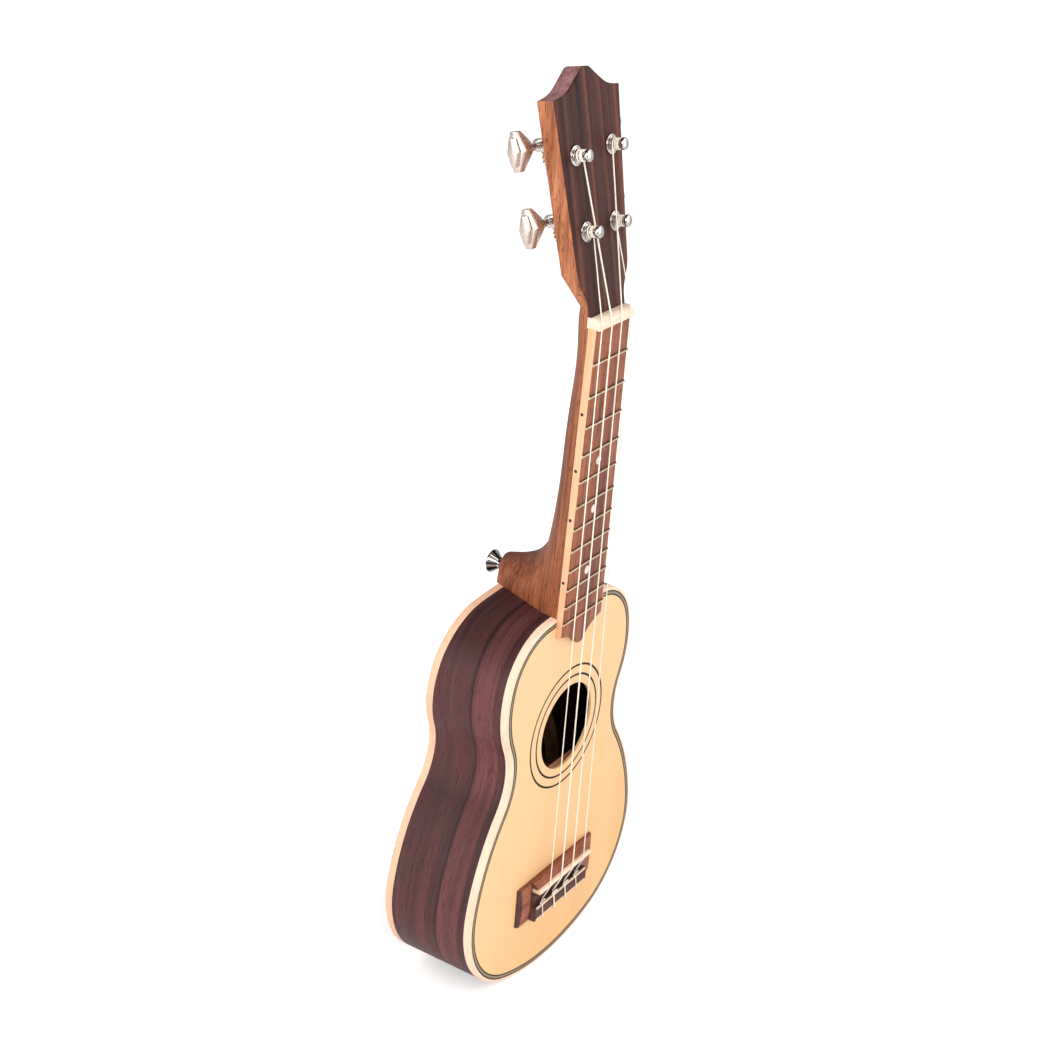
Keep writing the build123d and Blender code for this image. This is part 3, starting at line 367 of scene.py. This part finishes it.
def metal(name, colour, rough, scratch=0.25, spots=None, stretch=(1.0, 1.0, 1.0), tone=None,
          mottle=0.55, rubbing=0.4):
    """Plated or polished metal with soft blotches, fine scratches and brighter rubbed edges."""
    paint = Paint(name)
    blotch = paint.noise(paint.place((0.35, 0.35, 0.35)), 3.0, 0.6)
    scratches = paint.noise(paint.place(tuple(6.0 * s for s in stretch), shift=(2, 2, 2)), 3.0, 0.7)
    tint = tuple(c * 0.82 for c in colour) if spots is None else spots
    base = paint.mix(paint.band(blotch, 0.35, 0.75, 0.0, mottle), colour, tint)
    rubbed = tuple(min(1.0, c * 1.2) for c in colour)
    base = paint.mix(paint.maths("MULTIPLY", paint.edges(0.25), rubbing), base, rubbed)
    height = paint.maths("MULTIPLY", scratches, scratch)
    if tone is not None:
        base, height = tone(paint, base, height)
    roughness = paint.maths(
        "ADD", paint.band(blotch, 0.3, 0.7, rough * (1.0 - 0.4 * mottle), rough * (1.0 + 0.7 * mottle)),
        paint.band(scratches, 0.5, 0.9, 0.0, 0.08),
    )
    return paint.finish(base, roughness, paint.bump(height, 0.024), Metallic=1.0)


def fret_painted_reflection(paint, base, height):
    """Painted reflection: the nut side of each fret, where it faces upwards, is dark."""
    # Painted reflection: upward faces of the frets take a dark brown.
    return paint.mix(paint.band(paint.facing(2), 0.15, 0.6), base, srgb(112, 84, 66)), height


def flutes_and_painted_reflection(paint, base, height):
    """Turned grooves that fan out round the strap button's axis, as bumps, with painted reflection stripes
    darkening the colour.
    """
    x = paint.position(0)
    z = paint.maths("SUBTRACT", paint.position(2), strap_z / MM)
    angle = paint.maths("ARCTAN2", z, x)
    wave = paint.maths("SINE", paint.maths("MULTIPLY", angle, 10.0))
    groove_and_reflection = paint.band(wave, -0.4, 0.6)
    # Painted reflection: dark stripes mixed into the metal's colour along the grooves.
    return (
        paint.mix(groove_and_reflection, srgb(72, 68, 68), base),
        paint.maths("ADD", height, paint.maths("MULTIPLY", groove_and_reflection, 3.0)),
    )


def bone(name, light, dark, rough=0.32):
    """Bone or ivory-coloured plastic: faint streaks, tiny pits, some light passing through."""
    paint = Paint(name)
    streak = paint.noise(paint.place((0.12, 0.9, 0.9)), 4.0, 0.6, 0.4)
    pits = paint.noise(paint.place((1.2, 2.4, 2.4), shift=(3, 1, 5)), 2.0)
    colour = paint.ramp(streak, (0.32, dark), (0.6, light))
    pit = paint.band(pits, 0.68, 0.78)
    colour = paint.mix(paint.maths("MULTIPLY", pit, 0.35), colour, tuple(c * 0.55 for c in dark))
    rubbed = tuple(min(1.0, c * 1.1) for c in light)
    colour = paint.mix(paint.maths("MULTIPLY", paint.edges(0.4), 0.3), colour, rubbed)
    return paint.finish(
        colour, paint.band(streak, 0.3, 0.7, rough, rough + 0.12),
        paint.bump(paint.maths("SUBTRACT", streak, pit), 0.01),
        Subsurface_Weight=0.12, Subsurface_Scale=0.0015, Coat_Weight=0.2, Coat_Roughness=0.2,
    )


def nylon():
    """Clear-white string: milky, faint drawn lines."""
    paint = Paint("string_nylon_clear")
    drawn = paint.noise(paint.place((4.0, 4.0, 0.15)), 2.0)
    colour = paint.ramp(drawn, (0.3, srgb(240, 226, 208)), (0.7, srgb(252, 242, 228)))
    return paint.finish(
        colour, paint.band(drawn, 0.3, 0.7, 0.30, 0.42), paint.bump(drawn, 0.004),
        Specular_IOR_Level=0.4, Coat_Weight=0.1,
    )


def pearl():
    """Mother of pearl: drifting cream, pink and green sheen."""
    paint = Paint("mother_of_pearl")
    cloud = paint.noise(paint.place((0.55, 0.55, 0.9)), 4.0, 0.6, 1.5)
    view = paint.node("ShaderNodeLayerWeight")
    view.inputs["Blend"].default_value = 0.4
    shift = paint.maths("ADD", cloud, paint.maths("MULTIPLY", view.outputs["Facing"], 0.35))
    colour = paint.ramp(
        shift,
        (0.35, srgb(214, 206, 200)),
        (0.55, srgb(246, 222, 214)),
        (0.70, srgb(228, 222, 214)),
        (0.90, srgb(250, 232, 222)),
    )
    return paint.finish(
        colour, paint.band(cloud, 0.3, 0.7, 0.18, 0.3), paint.bump(cloud, 0.01),
        Metallic=0.15, Coat_Weight=0.4,
    )


def plain_spots(name, colour, rough):
    """Moulded dark plastic with fine mottling."""
    paint = Paint(name)
    mottle = paint.noise(paint.place((1.5, 1.5, 1.5)), 3.0)
    tint = paint.mix(paint.band(mottle, 0.3, 0.7, 0.0, 0.5), colour, tuple(c * 2.2 + 0.01 for c in colour))
    return paint.finish(tint, paint.band(mottle, 0.3, 0.7, rough, rough + 0.15), paint.bump(mottle, 0.008))


def rope_inlay():
    """Light purfling line with short slanted dark dashes, along the outline."""
    paint = Paint("purfling_rope")
    u = paint.position(0, "UV")
    v = paint.position(1, "UV")
    slant = paint.maths("ADD", u, paint.maths("MULTIPLY", v, 0.9))
    phase = paint.maths("FRACT", paint.maths("DIVIDE", slant, 1.15))
    dash = paint.maths("SUBTRACT", paint.band(phase, 0.08, 0.2), paint.band(phase, 0.5, 0.62))
    jitter = paint.noise(paint.place((0.9, 3.0, 1.0), "UV"), 2.0)
    dash = paint.maths("MULTIPLY", dash, paint.band(jitter, 0.25, 0.6, 0.55, 1.0))
    colour = paint.mix(dash, srgb(158, 134, 102), srgb(32, 23, 17))
    return paint.finish(colour, 0.42, paint.bump(dash, 0.008), Coat_Weight=0.15)


ROSEWOOD = (srgb(60, 36, 37), srgb(88, 54, 53), srgb(108, 69, 62))
MAHOGANY = (srgb(138, 76, 48), srgb(190, 116, 78), srgb(220, 146, 102))

MATERIALS = {
    "spruce_top": spruce(),
    "rosewood_body": wood(
        "side_rosewood", *ROSEWOOD, along="X", source="UV", figure=12.0, line=3.2, pores=0.6,
        gloss=0.5, lacquer=0.03, tone=side_tone_and_shade, contrast=0.8, bend=0.1, straight=2.0,
    ),
    "rosewood_back": wood(
        "back_rosewood", *ROSEWOOD, figure=10.0, line=2.8, pores=0.6, gloss=0.44, lacquer=0.12,
        tone=back_inner_shade,
    ),
    "maple_binding": wood(
        "binding_maple", srgb(228, 188, 158), srgb(238, 204, 178), srgb(244, 214, 190),
        figure=6.0, line=1.2, pores=0.0, gloss=0.42, lacquer=0.15, contrast=0.6,
    ),
    "back_maple": wood(
        "back_binding_maple", srgb(220, 168, 134), srgb(231, 184, 152), srgb(238, 196, 168),
        figure=6.0, line=1.2, pores=0.0, gloss=0.45, lacquer=0.1, contrast=0.6,
    ),
    "board_binding": wood(
        "board_binding_maple", srgb(226, 162, 120), srgb(237, 178, 138), srgb(243, 192, 154),
        figure=6.0, line=1.2, pores=0.0, gloss=0.42, lacquer=0.15, contrast=0.6,
    ),
    "dark_inlay": wood(
        "inlay_dark", srgb(16, 10, 8), srgb(24, 15, 11), srgb(34, 22, 16),
        figure=5.0, line=0.8, pores=0.2, gloss=0.55, lacquer=0.0,
    ),
    "rope": rope_inlay(),
    "mahogany": wood(
        "neck_mahogany", *MAHOGANY, figure=7.0, line=1.7, pores=0.9, gloss=0.46, lacquer=0.06,
        tone=neck_tone_light_and_shade, bend=0.1, contrast=1.1, straight=2.0, rub=0.02,
    ),
    # Painted shade: a darkened copy of mahogany for the blocks inside the body.
    "block_mahogany": wood(
        "inner_mahogany_shaded", srgb(70, 42, 28), srgb(92, 56, 38), srgb(110, 70, 48),
        figure=9.0, line=1.9, pores=0.5, gloss=0.6, lacquer=0.0,
    ),
    "head_rosewood": wood(
        "head_rosewood_face", srgb(34, 18, 19), srgb(74, 42, 36), srgb(110, 64, 49),
        figure=6.0, line=2.2, pores=0.5, gloss=0.55, lacquer=0.0, contrast=1.08, bend=0.0, straight=6.0,
        tilt=HEAD_TILT,
    ),
    "fretboard_rosewood": wood(
        "fretboard_wood", srgb(96, 54, 42), srgb(147, 88, 66), srgb(180, 112, 80),
        figure=6.0, line=1.4, pores=0.65, gloss=0.52, lacquer=0.04, tone=fretboard_tone,
    ),
    "bridge_rosewood": wood(
        "bridge_wood", srgb(100, 54, 40), srgb(142, 82, 60), srgb(170, 102, 74), along="X",
        figure=6.0, line=1.6, pores=0.65, gloss=0.5, lacquer=0.06, tone=bridge_tone_and_shade,
    ),
    "brace_wood": wood(
        "brace_spruce", srgb(176, 112, 76), srgb(206, 140, 100), srgb(222, 160, 120),
        figure=8.0, line=1.4, pores=0.1, gloss=0.6, lacquer=0.0,
    ),
    # Painted shade: a darkened copy of spruce for the parts inside the body.
    "inner_wood": wood(
        "inner_spruce_shaded", srgb(104, 72, 50), srgb(128, 92, 64), srgb(146, 108, 78),
        figure=8.0, line=1.4, pores=0.1, gloss=0.6, lacquer=0.0,
    ),
    "fret_wire": metal(
        "fret_nickel_silver", srgb(220, 202, 176), 0.32, stretch=(0.1, 1, 1), tone=fret_painted_reflection,
    ),
    "bone": bone("nut_bone", srgb(238, 213, 189), srgb(225, 196, 168)),
    "pearl": pearl(),
    "black_dot": plain_spots("black_dot_plastic", srgb(30, 24, 22), 0.3),
    "string_nylon": nylon(),
    "plated_metal": metal("nickel_plate", srgb(204, 196, 192), 0.14),
    "button_metal": metal(
        "satin_nickel", srgb(208, 192, 182), 0.24, scratch=0.1, spots=srgb(186, 168, 156), mottle=0.25,
        rubbing=0.1,
    ),
    "strap_metal": metal("turned_nickel", srgb(212, 206, 204), 0.16, tone=flutes_and_painted_reflection),
    "worm_steel": metal("worm_plate", srgb(196, 188, 180), 0.22),
    "gear_brass": metal("gear_brass_yellow", srgb(200, 146, 78), 0.3, spots=srgb(140, 92, 46)),
    "screw_steel": metal("screw_plate", srgb(206, 200, 192), 0.2),
}

# pieces whose look differs from the one their material slot names
NODE_LOOK = {
    "back_plate": "rosewood_back",
    "back_binding": "back_maple",
    "fretboard_bindings": "board_binding",
    "neck_block": "block_mahogany",
    "tail_block": "block_mahogany",
    "top_braces": "brace_wood",
    "strap_button": "strap_metal",
}
NODE_LOOK.update({f"button_{name}": "button_metal" for name in STRINGS})


def set_material(piece, look):
    piece.data.materials.clear()
    piece.data.materials.append(MATERIALS[look])


# ------------------------------------------------------------------ meshes
def new_piece(name, mesh, look, node):
    """A visible piece that rides with a CAD node and stands for it."""
    piece = bpy.data.objects.new(name, mesh)
    bpy.context.scene.collection.objects.link(piece)
    set_material(piece, look)
    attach(piece, NODE_BODY[node])
    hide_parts(node)
    return piece


NODE_SLOT = {entry["node"]: entry["material_slot"] for entry in frame["record"]["subparts"]}
NODE_BODY = {
    node: body for body, nodes in frame["record"]["behaviour"]["bodies"].items() for node in nodes
}


def smooth(mesh, degrees=32.0):
    """Smooth shading, with edges over the given angle kept crisp."""
    mesh.polygons.foreach_set("use_smooth", [True] * len(mesh.polygons))
    mesh.set_sharp_from_angle(angle=math.radians(degrees))
    mesh.update()


def softened(node, width_mm, segments=2, angle=28.0):
    """Copy of a CAD node with welded facets and every hard edge rounded off."""
    source = frame["nodes"][node]
    work = bmesh.new()
    work.from_mesh(source.data)
    bmesh.ops.remove_doubles(work, verts=work.verts, dist=2e-6)
    bmesh.ops.dissolve_limit(
        work, angle_limit=math.radians(0.4), verts=work.verts, edges=work.edges, delimit={"SHARP"}
    )
    hard = [
        edge for edge in work.edges
        if len(edge.link_faces) == 2 and edge.calc_face_angle(0.0) > math.radians(angle)
    ]
    bmesh.ops.bevel(
        work, geom=hard, offset=width_mm * MM, offset_type="OFFSET", segments=segments,
        profile=0.5, affect="EDGES", clamp_overlap=True,
    )
    mesh = bpy.data.meshes.new(node + "_softened")
    work.to_mesh(mesh)
    work.free()
    smooth(mesh, 40.0)
    return new_piece(node + "_shape", mesh, look_of(node), node)


def outline(step_mm=1.6):
    """Points round the body, anticlockwise from the tail: x, z, outward normal and distance run."""
    half = []
    x, z, heading, run = 0.0, tail_z, 0.0, 0.0
    turns = list(ARCS)
    left = 180.0 - sum(math.copysign(turn, radius) for radius, turn in turns)
    for index in range(len(turns) + 1):
        if index < len(turns):
            radius, turn = turns[index][0] * MM, turns[index][1]
        else:
            radius, turn = x / math.sin(math.radians(left)), left
        sweep = math.radians(turn)
        center_x = x - radius * math.sin(heading)
        center_z = z + radius * math.cos(heading)
        steps = max(2, round(abs(radius) * abs(sweep) / (step_mm * MM)))
        direction = 1.0 if radius > 0 else -1.0
        for k in range(steps):
            angle = heading + direction * sweep * k / steps
            half.append((center_x + radius * math.sin(angle), center_z - radius * math.cos(angle), angle, run + abs(radius) * sweep * k / steps))
        heading += direction * sweep
        run += abs(radius) * sweep
        x = center_x + radius * math.sin(heading)
        z = center_z - radius * math.cos(heading)
    half.append((0.0, z, math.pi, run))
    right = [(px, pz, math.sin(a), -math.cos(a), s) for px, pz, a, s in half]
    mirrored = [(-px, pz, -nx, nz, -s) for px, pz, nx, nz, s in reversed(right[1:-1])]
    return right, mirrored


def back_y(z):
    """Back surface at a station: flat, then arched towards the neck."""
    if z < BACK_FLAT_TOP:
        return 0.0
    return math.sqrt(BACK_RADIUS**2 - (z - BACK_FLAT_TOP) ** 2) - BACK_RADIUS


def hoop(name, profile, samples, closed, node, look=None):
    """Strip that follows the outline. Profile points: inset, distance from the front or back, side."""
    work = bmesh.new()
    layer = work.loops.layers.uv.new("UVMap")
    rings = []
    for px, pz, nx, nz, run in samples:
        ring = []
        length = 0.0
        last = None
        for inset, depth, side in profile:
            spot_x, spot_z = px - nx * inset, pz - nz * inset
            y = front_y + depth if side == "front" else back_y(spot_z) - depth
            here = Vector((spot_x, y, spot_z))
            if last is not None:
                length += (here - last).length
            last = here
            ring.append((work.verts.new(here), run, length))
        rings.append(ring)
    count = len(rings)
    pairs = [(k, k + 1) for k in range(count - 1)] + ([(count - 1, 0)] if closed else [])
    total = len(profile)
    for a, b in pairs:
        for j in range(total):
            following = (j + 1) % total
            corners = [rings[a][j], rings[b][j], rings[b][following], rings[a][following]]
            face = work.faces.new([corner[0] for corner in corners])
            values = [[corner[1], corner[2]] for corner in corners]
            if following == 0:
                perimeter = rings[a][-1][2] + 0.002
                values[2][1] = values[3][1] = perimeter
            if abs(values[0][0] - values[1][0]) > 0.05:
                for value in values:
                    value[0] = abs(value[0])
            for loop, value in zip(face.loops, values):
                loop[layer].uv = value
    if not closed:
        work.faces.new([corner[0] for corner in rings[0]])
        work.faces.new([corner[0] for corner in reversed(rings[-1])])
    bmesh.ops.recalc_face_normals(work, faces=work.faces)
    mesh = bpy.data.meshes.new(name)
    work.to_mesh(mesh)
    work.free()
    smooth(mesh, 30.0)
    return new_piece(name, mesh, look or look_of(node), node)


def rounded_corner(radius, side, first, last, center_inset, steps=5):
    """Profile points round a corner, from first to last degrees; nought points outwards."""
    points = []
    for k in range(steps + 1):
        angle = math.radians(first + (last - first) * k / steps)
        points.append((center_inset - radius * math.cos(angle), radius - radius * math.sin(angle), side))
    return points


def build_body():
    right, left = outline()
    loop = right + left
    soft = 0.12 * MM
    panel = [
        (soft, TOP_BINDING_DEEP, "front"),
        (0.0, TOP_BINDING_DEEP + soft, "front"),
        (0.0, BACK_BINDING_DEEP + soft, "back"),
        (soft, BACK_BINDING_DEEP, "back"),
        (BINDING_WIDE, BACK_BINDING_DEEP, "back"),
        (BINDING_WIDE, TOP_BINDING_DEEP, "front"),
    ]
    hoop("treble_side_panel", panel, right, False, "side_treble")
    bass = [(-px, pz, -nx, nz, s) for px, pz, nx, nz, s in reversed(right)]
    hoop("bass_side_panel", panel, bass, False, "side_bass")
    round_front = 0.9 * MM
    front = rounded_corner(round_front, "front", 0, 90, round_front) + [
        (BINDING_WIDE, 0.0, "front"),
        (BINDING_WIDE, TOP_BINDING_DEEP, "front"),
        (soft, TOP_BINDING_DEEP, "front"),
        (0.0, TOP_BINDING_DEEP - soft, "front"),
    ]
    hoop("front_binding_strip", front, loop, True, "top_binding")
    round_back = 1.1 * MM
    back = rounded_corner(round_back, "back", 0, 90, round_back) + [
        (BINDING_WIDE, 0.0, "back"),
        (BINDING_WIDE, BACK_BINDING_DEEP, "back"),
        (soft, BACK_BINDING_DEEP, "back"),
        (0.0, BACK_BINDING_DEEP - soft, "back"),
    ]
    hoop("back_binding_strip", back, loop, True, "back_binding")
    for name, outer, inner, look in (
        ("purfling_outer", 2.0, 2.8, "dark_inlay"),
        ("purfling_middle", 2.8, 4.2, "rope"),
        ("purfling_inner", 4.2, 5.0, "dark_inlay"),
    ):
        flat = [
            (outer * MM, 0.0, "front"),
            (inner * MM, 0.0, "front"),
            (inner * MM, 1.0 * MM, "front"),
            (outer * MM, 1.0 * MM, "front"),
        ]
        hoop(name, flat, loop, True, "top_purfling", look)


def look_of(node):
    return NODE_LOOK.get(node, NODE_SLOT[node])


def dress_cad_nodes():
    """Every CAD node that still shows gets its material."""
    for node in NODE_SLOT:
        set_material(frame["nodes"][node], look_of(node))


def build_small_pieces():
    for node, width in (
        ("nut", 0.35), ("saddle", 0.25), ("bridge", 0.35), ("tie_block_trims", 0.12), ("head_veneer", 0.2),
        ("fretboard", 0.12), ("frets", 0.12), ("strap_button", 0.12), ("strap_button_screw", 0.12),
        ("tuner_plates", 0.2), ("post_bushings", 0.15), ("tuner_plate_screws", 0.1),
    ):
        softened(node, width)
    for name in STRINGS:
        softened(f"button_{name}", 0.3, segments=3, angle=14.0)
        softened(f"post_{name}", 0.12)
        softened(f"gear_{name}", 0.08)
        softened(f"gear_screw_{name}", 0.1)


# ------------------------------------------------------------------ stage
def area_light(name, place, aim, size, power, colour=(1.0, 1.0, 1.0)):
    data = bpy.data.lights.new(name, "AREA")
    data.shape = "RECTANGLE"
    data.size, data.size_y = size
    data.energy = power
    data.color = colour
    light = bpy.data.objects.new(name, data)
    bpy.context.scene.collection.objects.link(light)
    light.location = place
    light.rotation_euler = (Vector(aim) - Vector(place)).to_track_quat("-Z", "Y").to_euler()
    return light


def pale_floor():
    """Matt white paper, a little brighter to the camera so that only the soft shadow shows."""
    paint = Paint("pale_floor")
    cloud = paint.noise(paint.place((0.003, 0.003, 0.003)), 3.0)
    colour = paint.ramp(cloud, (0.3, (0.90, 0.90, 0.90)), (0.7, (0.93, 0.93, 0.93)))
    path = paint.node("ShaderNodeLightPath")
    lift = paint.maths("MULTIPLY", path.outputs["Is Camera Ray"], 0.34)
    return paint.finish(
        colour, 0.8, Emission_Color=(1.0, 1.0, 1.0), Emission_Strength=lift, Specular_IOR_Level=0.1
    )


def build_stage():
    floor_mesh = bpy.data.meshes.new("floor")
    half = 12.0
    floor_mesh.from_pydata(
        [(-half, -half, floor_z), (half, -half, floor_z), (half, half, floor_z), (-half, half, floor_z)],
        [], [(0, 1, 2, 3)],
    )
    floor = bpy.data.objects.new("floor", floor_mesh)
    bpy.context.scene.collection.objects.link(floor)
    floor_mesh.materials.append(pale_floor())

    world = bpy.data.worlds.new("studio")
    bpy.context.scene.world = world
    world.use_nodes = True
    nodes = world.node_tree.nodes
    links = world.node_tree.links
    nodes.clear()
    output = nodes.new("ShaderNodeOutputWorld")
    path = nodes.new("ShaderNodeLightPath")

    def background(strength):
        made = nodes.new("ShaderNodeBackground")
        made.inputs["Color"].default_value = (1.0, 0.995, 0.985, 1.0)
        made.inputs["Strength"].default_value = strength
        return made

    def choose(ray, otherwise, chosen):
        """One background for a kind of ray, another for the rest."""
        made = nodes.new("ShaderNodeMixShader")
        links.new(path.outputs[ray], made.inputs["Fac"])
        links.new(otherwise.outputs[0], made.inputs[1])
        links.new(chosen.outputs[0], made.inputs[2])
        return made

    reflected = background(0.8)
    coordinates = nodes.new("ShaderNodeTexCoord")
    noise = nodes.new("ShaderNodeTexNoise")
    noise.inputs["Scale"].default_value = 1.6
    noise.inputs["Detail"].default_value = 1.0
    ramp = nodes.new("ShaderNodeValToRGB")
    ramp.color_ramp.elements[0].position = 0.42
    ramp.color_ramp.elements[0].color = (0.10, 0.09, 0.09, 1.0)
    ramp.color_ramp.elements[1].position = 0.60
    ramp.color_ramp.elements[1].color = (1.0, 0.97, 0.95, 1.0)
    links.new(coordinates.outputs["Generated"], noise.inputs["Vector"])
    links.new(noise.outputs["Fac"], ramp.inputs["Fac"])
    links.new(ramp.outputs["Color"], reflected.inputs["Color"])
    light = choose("Is Glossy Ray", background(0.75), reflected)
    seen = choose("Is Camera Ray", light, background(1.05))
    links.new(seen.outputs[0], output.inputs["Surface"])

    aim = (0.0, front_y, 0.15)
    area_light("key_box", (-1.3, -1.5, 1.6), aim, (1.2, 1.2), 30.0)
    area_light("left_box", (-1.8, 0.6, 0.7), aim, (0.9, 1.4), 14.0)
    area_light("right_box", (1.4, -1.6, 0.9), aim, (1.0, 1.4), 10.0)


def build_camera():
    """Seen from the bass side, above and in front, with a slight roll."""
    data = bpy.data.cameras.new("camera")
    camera = bpy.data.objects.new("camera", data)
    bpy.context.scene.collection.objects.link(camera)
    bpy.context.scene.camera = camera
    data.sensor_width = 36.0
    data.lens = 69.08
    data.clip_start = 0.01
    azimuth, elevation, roll = (math.radians(v) for v in (-58.414, 24.937, 4.485))
    backwards = Vector((
        math.sin(azimuth) * math.cos(elevation),
        -math.cos(azimuth) * math.cos(elevation),
        math.sin(elevation),
    ))
    level_right = Vector((0, 0, 1)).cross(backwards).normalized()
    level_up = backwards.cross(level_right)
    right = level_right * math.cos(roll) + level_up * math.sin(roll)
    up = backwards.cross(right)
    turn = Matrix((right, up, backwards)).transposed().to_4x4()
    camera.matrix_world = Matrix.Translation((-0.87727, -0.56064, 0.69219)) @ turn


dress_cad_nodes()
build_body()
build_small_pieces()
build_stage()
build_camera()
scene = bpy.context.scene
scene.view_settings.view_transform = "Standard"
scene.view_settings.look = "None"
